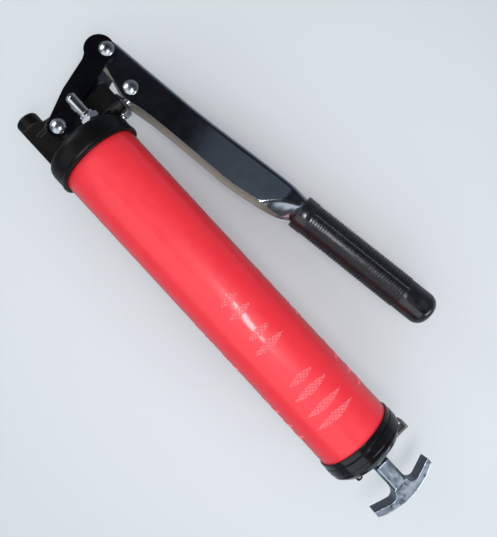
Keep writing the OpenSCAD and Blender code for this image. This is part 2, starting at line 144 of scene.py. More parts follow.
NOISE_SPREAD = {"From Min": 0.3, "From Max": 0.7}  # where most of a noise's values lie
SIDE_ON = {"From Min": 0.45, "From Max": 0.8}  # how squarely a face looks along z
FACES_BACK = {"From Min": -1 * MM, "From Max": -4 * MM}  # its side times its facing
HIGHLIGHT_EDGE = {"From Min": 0.56, "From Max": 0.66}  # pointiness of an edge painted paler as a highlight
HIGHLIGHT_GRAIN = 0.06
INSIDE_METALLIC = 0.4


def node_kit(material):
    """Adds a node by type, with its inputs, and returns it."""
    tree = material.node_tree

    def new(kind, inputs=None, **settings):
        node = tree.nodes.new(kind)
        for key, value in settings.items():
            setattr(node, key, value)
        for key, value in (inputs or {}).items():
            socket = node.inputs[key]
            if isinstance(value, bpy.types.NodeSocket):
                tree.links.new(value, socket)
            else:
                socket.default_value = value
        return node

    return new


def finish_material(
    name,
    colour,
    roughness,
    metallic=0.0,
    coat=0.0,
    coat_roughness=0.04,
    mottle=0.1,
    mottle_scale=120.0,
    rough_spread=0.08,
    grain_scale=1500.0,
    grain_mm=0.01,
    wave_mm=0.0,
    wave_scale=60.0,
    stretch=(1.0, 1.0, 1.0),
    edge_highlight=0.0,
    edge_highlight_colour=(0.6, 0.6, 0.6),
    specular=0.5,
    side_shade=1.0,
    inside=None,
):
    """Painted, plated or moulded finish: uneven colour and gloss, fine grain, slow
    waviness, and a painted highlight that makes convex edges paler. side_shade
    darkens the faces that don't look along the gun's z as painted shade, and inside
    colours the ones that look back to its middle plane."""
    material = bpy.data.materials.new(name)
    material.use_nodes = True
    material.node_tree.nodes.clear()
    new = node_kit(material)
    place = new("ShaderNodeTexCoord").outputs["Object"]
    place = new("ShaderNodeMapping", {"Vector": place, "Scale": stretch}).outputs["Vector"]
    cloud = new(
        "ShaderNodeTexNoise",
        {"Vector": place, "Scale": mottle_scale, "Detail": 4.0, "Roughness": 0.6},
    ).outputs["Fac"]
    grain = new(
        "ShaderNodeTexNoise",
        {"Vector": place, "Scale": grain_scale, "Detail": 2.0, "Roughness": 0.5},
    ).outputs["Fac"]
    shade = new(
        "ShaderNodeMapRange",
        {"Value": cloud, **NOISE_SPREAD, "To Min": 1 - mottle, "To Max": 1 + mottle},
    ).outputs["Result"]
    spot = new("ShaderNodeTexCoord").outputs
    facing = new(
        "ShaderNodeVectorMath", {0: spot["Normal"], 1: SIDEWAYS}, operation="DOT_PRODUCT"
    ).outputs["Value"]
    # painted shade: faces turned away from the gun's z are darkened
    if side_shade < 1:
        flat = new("ShaderNodeMath", {0: facing}, operation="ABSOLUTE").outputs[0]
        flat = new(
            "ShaderNodeMapRange",
            {"Value": flat, **SIDE_ON, "To Min": side_shade, "To Max": 1.0},
        ).outputs["Result"]
        shade = new("ShaderNodeMath", {0: shade, 1: flat}, operation="MULTIPLY").outputs[0]
    tint = new(
        "ShaderNodeHueSaturation", {"Color": (*colour, 1), "Value": shade}
    ).outputs["Color"]
    if inside:
        offset = new(
            "ShaderNodeVectorMath", {0: spot["Object"], 1: ORIGIN}, operation="SUBTRACT"
        ).outputs["Vector"]
        side = new(
            "ShaderNodeVectorMath", {0: offset, 1: SIDEWAYS}, operation="DOT_PRODUCT"
        ).outputs["Value"]
        inward = new("ShaderNodeMath", {0: side, 1: facing}, operation="MULTIPLY").outputs[0]
        inward = new(
            "ShaderNodeMapRange",
            {"Value": inward, **FACES_BACK, "To Min": 0.0, "To Max": 1.0},
        ).outputs["Result"]
        tint = new(
            "ShaderNodeMix", {"Factor": inward, "A": tint, "B": (*inside, 1)}, data_type="RGBA"
        ).outputs["Result"]
        metallic = new(
            "ShaderNodeMapRange",
            {"Value": inward, "To Min": metallic, "To Max": INSIDE_METALLIC},
        ).outputs["Result"]
    rough = new(
        "ShaderNodeMapRange",
        {
            "Value": cloud,
            **NOISE_SPREAD,
            "To Min": roughness * (1 - rough_spread * 2),
            "To Max": roughness * (1 + rough_spread * 2),
        },
    ).outputs["Result"]
    # painted highlight: convex edges are mixed towards a paler colour
    if edge_highlight:
        edge = new("ShaderNodeNewGeometry").outputs["Pointiness"]
        uneven = new("ShaderNodeMath", {0: grain, 1: HIGHLIGHT_GRAIN}, operation="MULTIPLY").outputs[0]
        lit_edge = new("ShaderNodeMath", {0: edge, 1: uneven}, operation="ADD").outputs[0]
        lit_edge = new(
            "ShaderNodeMapRange",
            {"Value": lit_edge, **HIGHLIGHT_EDGE, "To Min": 0.0, "To Max": edge_highlight},
        ).outputs["Result"]
        tint = new(
            "ShaderNodeMix",
            {"Factor": lit_edge, "A": tint, "B": (*edge_highlight_colour, 1)},
            data_type="RGBA",
        ).outputs["Result"]
    bump = new(
        "ShaderNodeBump", {"Height": grain, "Strength": 1.0, "Distance": grain_mm * MM}
    ).outputs["Normal"]
    if wave_mm:
        wave = new(
            "ShaderNodeTexNoise",
            {"Vector": place, "Scale": wave_scale, "Detail": 1.0, "Roughness": 0.4},
        ).outputs["Fac"]
        bump = new(
            "ShaderNodeBump",
            {"Height": wave, "Strength": 1.0, "Distance": wave_mm * MM, "Normal": bump},
        ).outputs["Normal"]
    surface = new(
        "ShaderNodeBsdfPrincipled",
        {
            "Base Color": tint,
            "Metallic": metallic,
            "Roughness": rough,
            "Normal": bump,
            "Coat Weight": coat,
            "Coat Roughness": coat_roughness,
            "Specular IOR Level": specular,
        },
    )
    new("ShaderNodeOutputMaterial", {"Surface": surface.outputs["BSDF"]})
    return material


FINISHES = {
    "red_paint": finish_material(
        "red_paint", (0.69, 0.018, 0.032), 0.45, coat=0.4, coat_roughness=0.13,
        mottle=0.03, grain_scale=700, grain_mm=0.006, wave_mm=0.05, wave_scale=90,
    ),
    # pale pink tips of the knurl diamonds: painted glints
    "knurl_glint_paint": finish_material(
        "knurl_glint_paint", (0.90, 0.42, 0.45), 0.2, coat=1.0, coat_roughness=0.05,
        mottle=0.15, mottle_scale=400, grain_mm=0.002,
    ),
    # its convex edges are painted paler as a highlight
    "black_casting": finish_material(
        "black_casting", (0.0025, 0.0025, 0.0026), 0.4, coat=0.1, coat_roughness=0.2,
        mottle=0.2, grain_scale=900, grain_mm=0.05, wave_mm=0.1, wave_scale=160,
        edge_highlight=0.35, edge_highlight_colour=(0.04, 0.04, 0.045), specular=0.16,
    ),
    "black_gloss_paint": finish_material(
        "black_gloss_paint", (0.005, 0.005, 0.006), 0.2, coat=0.4, coat_roughness=0.08,
        mottle=0.1, grain_scale=800, grain_mm=0.006, wave_mm=0.03, specular=0.25,
    ),
    "seal_rubber": finish_material(
        "seal_rubber", (0.02, 0.02, 0.02), 0.6, mottle=0.15, grain_mm=0.02,
    ),
    "grip_rubber": finish_material(
        "grip_rubber", (0.008, 0.008, 0.010), 0.25, mottle=0.2, mottle_scale=200,
        rough_spread=0.15, grain_scale=2600, grain_mm=0.015, specular=0.75,
    ),
    "zinc_plate": finish_material(
        "zinc_plate", (0.55, 0.55, 0.53), 0.32, metallic=1.0, grain_mm=0.012,
        mottle=0.12, mottle_scale=260,
    ),
    "bright_zinc": finish_material(
        "bright_zinc", (0.76, 0.78, 0.82), 0.2, metallic=1.0, grain_mm=0.01,
        mottle=0.1, mottle_scale=300,
    ),
    "bright_rod": finish_material(
        "bright_rod", (0.72, 0.72, 0.72), 0.16, metallic=1.0, grain_mm=0.006,
        stretch=(0.05, 1, 1), mottle=0.05,
    ),
    "spring_wire": finish_material(
        "spring_wire", (0.30, 0.30, 0.31), 0.3, metallic=1.0, grain_mm=0.01,
    ),
    "latch_steel": finish_material(
        "latch_steel", (0.26, 0.27, 0.25), 0.4, metallic=1.0, grain_mm=0.015,
        mottle=0.2, mottle_scale=250,
    ),
    "black_oxide": finish_material(
        "black_oxide", (0.05, 0.05, 0.055), 0.35, metallic=0.8, grain_mm=0.012,
    ),
    "dark_chrome": finish_material(
        "dark_chrome", (0.26, 0.27, 0.30), 0.12, metallic=1.0, grain_mm=0.004,
        wave_mm=0.06, wave_scale=70, mottle=0.08,
    ),
    "lever_chrome": finish_material(
        "lever_chrome", (0.46, 0.50, 0.56), 0.15, metallic=1.0, grain_mm=0.004,
        wave_mm=0.10, wave_scale=55, mottle=0.06, inside=(0.40, 0.37, 0.32),
    ),
    "rivet_chrome": finish_material(
        "rivet_chrome", (0.58, 0.61, 0.66), 0.27, metallic=1.0, grain_mm=0.008,
    ),
    # its side walls are darkened by side_shade as painted shade
    "cast_handle": finish_material(
        "cast_handle", (0.50, 0.58, 0.70), 0.34, metallic=1.0, mottle=0.2,
        mottle_scale=240, rough_spread=0.15, grain_scale=900, grain_mm=0.02,
        wave_mm=0.1, wave_scale=150, side_shade=0.36,
    ),
}
SLOT_OF = {part["node"]: part["material_slot"] for part in frame["record"]["subparts"]}
BODY_OF = {
    node: body
    for body, members in frame["record"]["behaviour"]["bodies"].items()
    for node in members
}

# ---------------------------------------------------------------- mesh helpers


def piece(name, shape, node, sharp=35.0, finish=None):
    """Makes a shape in the gun's axes, in millimetres, a piece that rides on a CAD
    node's body and takes the finish of that node's slot unless another is named."""
    if isinstance(shape, bmesh.types.BMesh):
        bmesh.ops.recalc_face_normals(shape, faces=shape.faces)
        mesh = bpy.data.meshes.new(name)
        shape.to_mesh(mesh)
        shape.free()
        mesh.transform(GUN)
    else:
        mesh = shape
    obj = bpy.data.objects.new(name, mesh)
    bpy.context.scene.collection.objects.link(obj)
    mesh.shade_smooth()
    mesh.set_sharp_from_angle(angle=math.radians(sharp))
    slot = SLOT_OF[node]
    mesh.materials.clear()
    mesh.materials.append(FINISHES[finish or slot])
    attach(obj, BODY_OF[node])
    return obj


def bevel(obj, width, segments=3, angle=35.0):
    """Rounds a piece's edges by a width in millimetres."""
    modifier = obj.modifiers.new("edges", "BEVEL")
    modifier.width = width * MM
    modifier.segments = segments
    modifier.limit_method = "ANGLE"
    modifier.angle_limit = math.radians(angle)
    modifier.harden_normals = True
    modifier.miter_outer = "MITER_ARC"
    return obj


def rounded(points, steps=5):
    """Closed outline with its corners rounded. Each point is (a, b) or (a, b, radius)."""
    count = len(points)
    path = []
    for i, point in enumerate(points):
        here = Vector(point[:2])
        if len(point) < 3:
            path.append(tuple(here))
            continue
        before = Vector(points[i - 1][:2]) - here
        after = Vector(points[(i + 1) % count][:2]) - here
        half = before.angle(after) / 2
        reach = min(point[2] / math.tan(half), before.length * 0.49, after.length * 0.49)
        start = here + before.normalized() * reach
        end = here + after.normalized() * reach
        for k in range(steps + 1):
            t = k / steps
            path.append(tuple(start.lerp(here, t).lerp(here.lerp(end, t), t)))
    return path


def bridge(bm, ring, following):
    """Faces between two rings of points, either of which may be a single point."""
    count = max(len(ring), len(following))
    for i in range(count):
        j = (i + 1) % count
        corners = [ring[i % len(ring)], ring[j % len(ring)]]
        corners += [following[j % len(following)], following[i % len(following)]]
        unique = list(dict.fromkeys(corners))
        if len(unique) > 2:
            bm.faces.new(unique)


def hexagon(angle, flat):
    """Radius of a hexagon whose flats are that far from its middle."""
    sixth = math.pi / 3
    return flat / math.cos((angle + sixth / 2) % sixth - sixth / 2)


def lathe(profile, segments=96, place=Matrix(), closed=False, shape=None):
    """Solid of revolution about x from (x, radius) points. A third value cuts the
    ring to a hexagon whose flats are that far from x. shape(x, angle, radius)
    reshapes it."""
    bm = bmesh.new()
    rings = []
    for x, radius, *flat in profile:
        if radius < 1e-6:
            rings.append([bm.verts.new(place @ Vector((x, 0, 0)))])
            continue
        ring = []
        for i in range(segments):
            a = 2 * math.pi * i / segments
            r = min(radius, hexagon(a, flat[0])) if flat else radius
            r = shape(x, a, r) if shape else r
            ring.append(bm.verts.new(place @ Vector((x, r * math.cos(a), r * math.sin(a)))))
        rings.append(ring)
    for ring, following in zip(rings, rings[1:]):
        bridge(bm, ring, following)
    if closed:
        bridge(bm, rings[-1], rings[0])
    return bm


def hex_nut(low, high, flat, bore, chamfer=0.9):
    """Closed profile of a bored hexagon between low and high, corners chamfered."""
    corner = flat / math.cos(math.pi / 6) + 0.05
    steps = 4
    profile = [(low, bore), (low, flat * 0.97)]
    for k in range(steps + 1):
        t = k / steps
        profile.append((low + chamfer * t, flat + (corner - flat) * t, flat))
    for k in range(steps + 1):
        t = k / steps
        profile.append((high - chamfer * (1 - t), corner + (flat - corner) * t, flat))
    return profile + [(high, flat * 0.97), (high, bore)]


def coil(radius, wire, length, turns, place, ends):
    """Coil spring along x from 0 as one sealed tube of that wire radius. Each end is
    wound close for that many turns."""
    steps, sides = 36, 10
    bm = bmesh.new()
    rings = []
    count = round(turns * steps)
    dead = ends * steps
    for i in range(count + 1):
        live = min(max(i - dead, 0), count - 2 * dead) / (count - 2 * dead)
        closing = min(i, dead) + max(i - (count - dead), 0)
        x = wire + closing / steps * wire * 0.5
        x += live * (length - 2 * wire - 2 * ends * wire * 0.5)
        a = 2 * math.pi * i / steps
        ring = []
        for k in range(sides):
            b = 2 * math.pi * k / sides
            r = radius + wire * math.cos(b)
            spot = Vector((x + wire * math.sin(b), r * math.cos(a), r * math.sin(a)))
            ring.append(bm.verts.new(place @ spot))
        rings.append(ring)
    for ring, following in zip(rings, rings[1:]):
        bridge(bm, ring, following)
    bm.faces.new(rings[0])
    bm.faces.new(rings[-1])
    return bm


def prism(outline, low, high, bm=None):
    """Outline in x and y, drawn out from z = low to z = high."""
    bm = bm or bmesh.new()
    bottom = [bm.verts.new((x, y, low)) for x, y in outline]
    top = [bm.verts.new((x, y, high)) for x, y in outline]
    bm.faces.new(bottom)
    bm.faces.new(top)
    bridge(bm, bottom, top)
    return bm


def smooth_step(t):
    t = min(max(t, 0.0), 1.0)
    return t * t * (3 - 2 * t)


def at(x, y=0.0, z=0.0):
    return Matrix.Translation((x, y, z))


ALONG_Y = Matrix.Rotation(math.pi / 2, 4, "Z")
ALONG_Z = Matrix.Rotation(-math.pi / 2, 4, "Y")
BACKWARD = Matrix.Rotation(math.pi, 4, "Z")


def own_shape(name, node, merge=True):
    """Piece with a node's own shape, for a modifier to finish. Its flat faces are
    merged unless the modifier is to work on the triangles."""
    bm = bmesh.new()
    bm.from_mesh(NODES[node].data)
    bmesh.ops.remove_doubles(bm, verts=bm.verts, dist=1e-7)
    straight = math.radians(0.4)
    if merge:
        bmesh.ops.dissolve_limit(bm, angle_limit=straight, verts=bm.verts, edges=bm.edges)
    mesh = bpy.data.meshes.new(name)
    bm.to_mesh(mesh)
    bm.free()
    obj = piece(name, mesh, node)
    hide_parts(node)
    return obj


def machined(node, edge, gap=0.0):
    """Own shape with rounded edges, for turned, pressed and milled parts, drawn in by
    a gap where it runs in a cast bore."""
    obj = own_shape(node + "_made", node)
    if gap:
        fit = obj.modifiers.new("fit", "DISPLACE")
        fit.mid_level = 0.0
        fit.strength = -gap * MM
    return bevel(obj, edge)


def cast(node, grid, passes):
    """Own shape with its edges run into fillets, as a casting has them."""
    obj = own_shape(node + "_cast", node, merge=False)
    skin = obj.modifiers.new("skin", "REMESH")
    skin.mode = "VOXEL"
    skin.voxel_size = grid * MM
    skin.use_smooth_shade = True
    fillet = obj.modifiers.new("fillet", "SMOOTH")
    fillet.factor = 0.5
    fillet.iterations = passes
    return obj


# --------------------------------------------------------------------- barrel


def make_barrel():
    end = 0.35
    profile = rounded([
        (TUBE_START, BARREL_R, end), (TUBE_END, BARREL_R, end),
        (TUBE_END, BORE_R, end), (TUBE_START, BORE_R, end),
    ], 3)
    tube = piece("barrel", lathe(profile, 256, closed=True), "barrel_tube")
    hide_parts("barrel_tube")


KNURL_ROWS = (  # place along the barrel, and half the angle each patch spans
    (129.0, 14.0), (139.0, 17.0), (156.5, 18.0), (166.6, 25.0),
    (195.5, 20.0), (205.3, 28.0), (218.0, 28.5), (228.0, 31.0),
)
KNURL_PITCH = 1.28
KNURL_HEIGHT = 0.35
KNURL_SUNK = 0.05  # how far a diamond's foot lies in the paint
KNURL_HALF_WIDTH = 2.7
KNURL_COLUMNS = 4
KNURL_FIRST = 93.0
TIP_SIZE = 0.4  # share of a diamond painted pale as a glint
TIP_PROUD = 0.04
TIP_OVERLAP = 0.05


def make_knurls():
    """Lens-shaped patches of diamond knurling, each diamond a small closed pyramid
    whose tip is painted pale as a glint."""
    half = KNURL_PITCH / 2
    turn = math.degrees(half / BARREL_R)

    def spot(bm, x, degrees, radius):
        a = math.radians(degrees)
        return bm.verts.new((x, radius * math.cos(a), radius * math.sin(a)))

    def diamond(bm, x, a, size, low, high):
        top = spot(bm, x, a, BARREL_R + high)
        foot = [
            spot(bm, x - half * size, a, BARREL_R + low),
            spot(bm, x, a - turn * size, BARREL_R + low),
            spot(bm, x + half * size, a, BARREL_R + low),
            spot(bm, x, a + turn * size, BARREL_R + low),
        ]
        bridge(bm, foot, [top])
        bm.faces.new(foot)

    knurls, glints = bmesh.new(), bmesh.new()
    tip_low = KNURL_HEIGHT * (1 - TIP_SIZE)
    tip_high = KNURL_HEIGHT + TIP_PROUD
    most = math.ceil(KNURL_HALF_WIDTH / half)
    for column in range(KNURL_COLUMNS):
        middle_angle = KNURL_FIRST + column * 360 / KNURL_COLUMNS
        for row_x, reach in KNURL_ROWS:
            steps = int(reach / turn)
            for i in range(-steps, steps + 1):
                share = i * turn / reach
                width = KNURL_HALF_WIDTH * (1 - share * share)
                for j in range(-most, most + 1):
                    offset = j * half
                    if (i + j) % 2 == 0 and abs(offset) <= width:
                        x, a = row_x + offset, middle_angle + i * turn
                        diamond(knurls, x, a, 1.0, -KNURL_SUNK, KNURL_HEIGHT)
                        # its pale tip is a painted glint
                        diamond(glints, x, a, TIP_SIZE + TIP_OVERLAP, tip_low, tip_high)
    piece("barrel_knurls", knurls, "barrel_tube", sharp=30)
    piece("barrel_knurl_glints", glints, "barrel_tube", sharp=30, finish="knurl_glint_paint")


# The two ears that hold the latch pin on the cap's face.
EAR_HALF = 2.4
EAR_SUNK = 0.6
EAR_REACH = 4.9
EAR_ROUND = 2.2
EAR_SIDE = 5.25
EAR_WALL = 2.5


def make_end_cap():
    """Stepped bands with grooves outside, the socket for the tube inside."""
    wall, socket, inner = 4.0, 11.0, 24.5
    socket_r = BARREL_R + 0.05
    face = CAP_DEPTH
    profile = rounded([
        (0, 29.4, 0.3), (0.5, 29.7, 0.3), (3.6, 29.7, 0.3), (4.1, 29.0, 0.2),
        (4.4, 29.0, 0.2), (5.0, 29.9, 0.3), (9.7, 29.9, 0.35), (10.3, 29.2, 0.15),
        (12.8, 29.3, 0.4), (13.5, 28.8, 0.4), (17.0, 25.4, 3.0), (face, 21.0, 0.8),
        (face, 6.0, 0.3), (face - wall, 6.0), (face - wall, inner), (socket, inner),
        (socket, socket_r), (0, socket_r),
    ])
    bm = lathe([(CAP_START + x, r) for x, r in profile], 192, closed=True)
    ear_low, ear_high = LATCH_PIN.y - EAR_HALF, LATCH_PIN.y + EAR_HALF
    ear_foot, ear_top = CAP_FACE - EAR_SUNK, CAP_FACE + EAR_REACH
    ear = rounded([
        (ear_foot, ear_low), (ear_top, ear_low, EAR_ROUND),
        (ear_top, ear_high, EAR_ROUND), (ear_foot, ear_high),
    ])
    for low in (-EAR_SIDE - EAR_WALL, EAR_SIDE):
        prism(ear, low, low + EAR_WALL, bm=bm)
    cap = bevel(piece("end_cap_turned", bm, "end_cap"), 0.3, 2, 60)
    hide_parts("end_cap")


def make_springs():
    """Smooth coils in place of the CAD ones."""
    springs = (
        # node, coil radius, wire radius, turns, closed turns at each end, joint,
        # axis (0 is x and 1 is y), share of its length kept where that isn't a slide's
        ("follower_spring", 21.5, 1.2, 14, 0.75, "follower_slide", 0, 0.2),
        ("latch_spring", 7.3, 0.2, 1.5, 0.25, "latch_tilt", 0, 0.25),
        ("check_spring", 1.9, 0.25, 5, 0.75, "check_lift", 0, None),
        ("filler_spring", 1.55, 0.25, 5, 0.75, "filler_lift", 0, None),
        ("bleed_spring", 1.1, 0.15, 3, 0.75, "bleed_push", 1, None),
    )
    for node, radius, wire, turns, ends, joint_name, axis, keep in springs:
        low, high = node_span(node)
        centre = middle(node)
        length = high[axis] - low[axis]
        foot = centre.copy()
        foot[axis] = low[axis]
        turn = ALONG_Y if axis == 1 else Matrix()
        bm = coil(radius, wire, length, turns, at(*foot) @ turn, ends)
        spring = piece(node + "_coil", bm, node)
        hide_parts(node)
        travel = max(abs(v) for v in JOINTS[joint_name].get("range_m") or (0.0,)) / MM
        keep = keep or (length - travel) / length
        held = centre.copy()
        held[axis] = SPRING_ANCHOR[node](low[axis], high[axis])
        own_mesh(spring)


def node_span(node):
    """Lowest and highest corner of a node in the gun's axes."""
    spots = [GUN.inverted() @ vertex.co for vertex in NODES[node].data.vertices]
    low = Vector([min(spot[i] for spot in spots) for i in range(3)])
    high = Vector([max(spot[i] for spot in spots) for i in range(3)])
    return low, high


# Which end of each spring stays put as its joint moves.
SPRING_ANCHOR = {
    "follower_spring": max,
    "latch_spring": min,
    "check_spring": min,
    "filler_spring": max,
    "bleed_spring": min,
}

# ----------------------------------------------------------------- pump head


def make_head():
    cast("head_casting", 0.5, 5)
    make_outlet_thread()


def make_outlet_thread():
    """Thread ridge of the outlet, wound inside its bore."""
    low = node_span("head_casting")[0].x
    nose_y = -19.0
    radius, pitch, depth, turns, steps = 4.359, 0.907, 0.5, 10, 48
    lead_in, half_foot, half_crest = 0.7, 0.4, 0.06
    ridge = ((-half_foot, 0.0), (-half_crest, depth), (half_crest, depth), (half_foot, 0.0))
    bm = bmesh.new()
    rings = []
    for i in range(turns * steps + 1):
        a = 2 * math.pi * i / steps
        x = low + lead_in + pitch * i / steps
        taper = min(1.0, i / steps, (turns * steps - i) / steps)
        ring = []
        for dx, inward in ridge:
            r = radius - inward * taper
            ring.append(bm.verts.new((x + dx, nose_y + r * math.cos(a), r * math.sin(a))))
        rings.append(ring)
    for ring, following in zip(rings, rings[1:]):
        bridge(bm, ring, following)
    bm.faces.new(rings[0])
    bm.faces.new(rings[-1])
    piece("outlet_thread", bm, "head_casting", sharp=50)


def rivet(name, node, centre, shank, base, head_r, head_h):
    """Rivet along z: a shank and a domed head at each end."""
    rim, chamfer, steps = 0.3, 0.15, 14
    ball = (head_r**2 + (head_h - rim) ** 2) / (2 * (head_h - rim))
    dome = [(base, shank), (base, head_r - chamfer), (base + chamfer, head_r)]
    top_angle = math.asin(head_r / ball)
    for k in range(steps + 1):
        a = top_angle * (1 - k / steps)
        dome.append((base + head_h - ball + ball * math.cos(a), ball * math.sin(a)))
    profile = [(-x, r) for x, r in reversed(dome)] + dome
    made = piece(name, lathe(profile, 72, at(centre.x, centre.y) @ ALONG_Z), node)
    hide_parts(node)


def make_rivets():
    dome_r, dome_h = 5.2, 2.6
    play = 0.05
    rivet("link_rivet_domed", "link_rivet", PIN_C, 3.2, LINK_OUT + play, dome_r, dome_h)
    rivet("lever_rivet_domed", "lever_rivet", PIN_A, 4.0, LINK_OUT, dome_r, dome_h)
    rivet("plunger_rivet_domed", "plunger_rivet", PIN_B, 3.0, LEVER_HALF, dome_r, 2.4)


def make_filler():
    """Filler fitting: hexagon, shoulder, nipple with a flange at its tip, and bore."""
    low, high = node_span("filler_fitting")
    centre = middle("filler_fitting")
    long = high.x - low.x
    bore, seat = 2.1, 1.3
    hexagon_part = hex_nut(0, 4, 6.0, bore, 0.8)[1:-2]
    profile = hexagon_part + [
        (4.0, 5.3), (4.15, 5.1), (6.3, 5.1), (6.6, 4.8), (6.6, 4.05), (6.9, 3.72),
        (long - 2.0, 3.72), (long - 1.7, 3.8), (long - 1.45, 4.0), (long - 0.35, 4.0),
        (long, 3.65), (long, 1.6), (long - 0.3, seat), (long - 1.6, seat),
        (long - 1.6, bore), (0, bore),
    ]
    place = at(high.x, centre.y, centre.z) @ BACKWARD
    fitting = piece("filler_nipple", lathe(profile, 96, place, closed=True), "filler_fitting")
    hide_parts("filler_fitting")


def make_bleed_valve():
    """Small hexagon valve beside the pump boss, with its push button."""
    low, high = node_span("bleed_valve")
    centre = middle("bleed_valve")
    hexagon_height = 5.6
    foot, base = low.y, high.y - hexagon_height
    profile = [(foot, 0.7), (foot, 1.7), (foot + 0.2, 1.9), (base, 1.9)]
    profile += hex_nut(base, high.y, 2.68, 1.5, 0.5)[1:]
    profile += [(base + 1.0, 1.5), (base + 1.0, 0.7)]
    place = at(centre.x, 0, centre.z) @ ALONG_Y
    valve = piece("bleed_body", lathe(profile, 72, place, closed=True), "bleed_valve")
    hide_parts("bleed_valve")
    low, high = node_span("bleed_stem")
    top = high.y
    button = [(low.y, 0), (low.y, 0.5), (low.y + 0.15, 0.65), (top - 1.6, 0.65)]
    button += [(top - 1.6, 1.4), (top - 0.5, 1.4), (top - 0.2, 1.25), (top, 0.8), (top, 0)]
    stem = piece("bleed_button", lathe(button, 48, place), "bleed_stem")
    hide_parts("bleed_stem")


def make_gland_nut():
    """Nut with a low hexagon that holds the plunger's seal in the pump boss."""
    low, high = node_span("gland_nut")
    hexagon_height, bore = 2.5, 4.8
    base = high.y - hexagon_height
    profile = [(low.y, bore), (low.y, 5.7), (low.y + 0.3, 6.0), (base, 6.0)]
    profile += hex_nut(base, high.y, 6.4, bore, 0.8)[1:]
    place = at(PIN_B.x, 0, 0) @ ALONG_Y
    nut = piece("gland_nut_hex", lathe(profile, 96, place, closed=True), "gland_nut")
    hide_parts("gland_nut")


# --------------------------------------------------------------- lever and grip

GRIP_ANGLE = math.radians(9)
GRIP_START = (117.0, 77.7)
GRIP_LENGTH = 117.0
GRIP_R = 12.5
TANG_R = 6.5
TANG_LENGTH = 95.0
TANG_SEAM = 0.06  # half the angle of the slit along the tang
LEVER_WALL = 1.6
# Height of the lever's top and lower edges along the grip's axis.
TOP_EDGE = (
    (-178, 1.7), (-177, 5.4), (-174, 8.2), (-169.5, 9.6), (-164, 9.6), (-135, 8.9),
    (-92, 8.1), (-42, 9.2), (-22, 9.5), (-8, 9.2), (0, 8.7),
)
LOWER_EDGE = (
    (-178, 1.7), (-177, -1.9), (-173, -5.4), (-168, -6.7), (-163, -7.6), (-153, -11.7),
    (-143, -15.6), (-140, -16.3), (-136, -16.1), (-117, -15.0), (-73, -15.8),
    (-48, -16.4), (-36, -15.4), (-30, -14.7), (-22, -14.2), (-13.5, -13.5),
    (-7, -12.1), (-2.3, -9.9), (0, -8.9),
)
FRONT_END = -177.3
# Towards the grip each cheek folds inwards below a crease, and its lower edge ends
# up near the middle. Place along the grip's axis, then height or side.
CREASE = (
    (-178, -40), (-30, -19), (-26, -14.5), (-21, -10.3), (-16, -5.0), (-10.7, -2.0),
    (-4.7, -0.2), (0, 1.8),
)
EDGE_SIDE = (
    (-178, 11.5), (-30, 11.5), (-26, 11.4), (-22, 10.6), (-13.5, 7.0), (-7, 4.2),
    (-2.3, 2.3), (0, 1.9),
)
NECK_HALF = 9.8
NECK_START = -16.0
CORNER = 3.2  # radius of the bend from the top into a cheek
NECK_CORNER = 1.2  # what the neck adds to it
FOLD_CURVE = 1.25
SECTION_STEPS = 64


def height_at(edge, x):
    """Smooth height of an edge at a place along the lever."""
    for i in range(len(edge) - 1):
        if x <= edge[i + 1][0]:
            break
    (x0, y0), (x1, y1) = edge[i], edge[i + 1]
    before = edge[max(i - 1, 0)]
    after = edge[min(i + 2, len(edge) - 1)]
    span = x1 - x0
    slope0 = (y1 - before[1]) / (x1 - before[0])
    slope1 = (after[1] - y0) / (after[0] - x0)
    t = min(max((x - x0) / span, 0.0), 1.0)
    rise = y1 - y0
    a = slope0 * span - rise
    b = rise - slope1 * span
    return y0 + rise * t + t * (1 - t) * (a * (1 - t) + b * t)


def channel_section(x, inset):
    """Cross-section of the lever from one lower edge over the top to the other, as
    (height, side) points: a channel whose cheeks fold in towards the grip."""
    count = SECTION_STEPS
    points = []
    if x > 0:
        radius = TANG_R - inset
        for k in range(count + 1):
            a = -math.pi / 2 + TANG_SEAM + (2 * math.pi - 2 * TANG_SEAM) * k / count
            points.append((radius * math.sin(a), radius * math.cos(a)))
        return points
    top = height_at(TOP_EDGE, x) - inset
    low = height_at(LOWER_EDGE, x)
    narrowing = smooth_step((x - NECK_START) / -NECK_START)
    half = LEVER_HALF + (NECK_HALF - LEVER_HALF) * narrowing - inset
    corner = CORNER + NECK_CORNER * narrowing - inset * 0.8
    corner = min(corner, half, max(top - low, 0.2) * 0.45)
    drop = max(top - low - corner, 0.0)
    bend = corner * math.pi / 2
    total = drop + bend + half - corner
    crease = height_at(CREASE, x)
    edge = max(min(height_at(EDGE_SIDE, x), LEVER_HALF) - inset, 0.2)
    for k in range(count + 1):
        s = (1 - abs(2 * k / count - 1)) * total
        side = 1 if 2 * k < count else -1
        if s <= drop:
            height, reach = low + s, half
        elif s <= drop + bend:
            a = (s - drop) / corner
            height = top - corner + corner * math.sin(a)
            reach = half - corner + corner * math.cos(a)
        else:
            height, reach = top, total - s
        if height < crease:
            fold = ((crease - height) / (crease - low)) ** FOLD_CURVE
            reach -= (half - edge) * fold
        points.append((height, side * reach))
    return points


def lever_stations():
    """Places of the lever's sections: close together round its front end and towards
    the neck, which ends at 0, and far apart along the tang."""
    front = [FRONT_END + 0.35 * k for k in range(14)]
    channel = [FRONT_END + 5 + 2.5 * k for k in range(48)]
    neck = [-52 + 1.0 * k for k in range(53)]
    tang = [0.6, 1.2, 30.0, 60.0, TANG_LENGTH - 1.0]
    return sorted(set(front + channel + neck + tang))


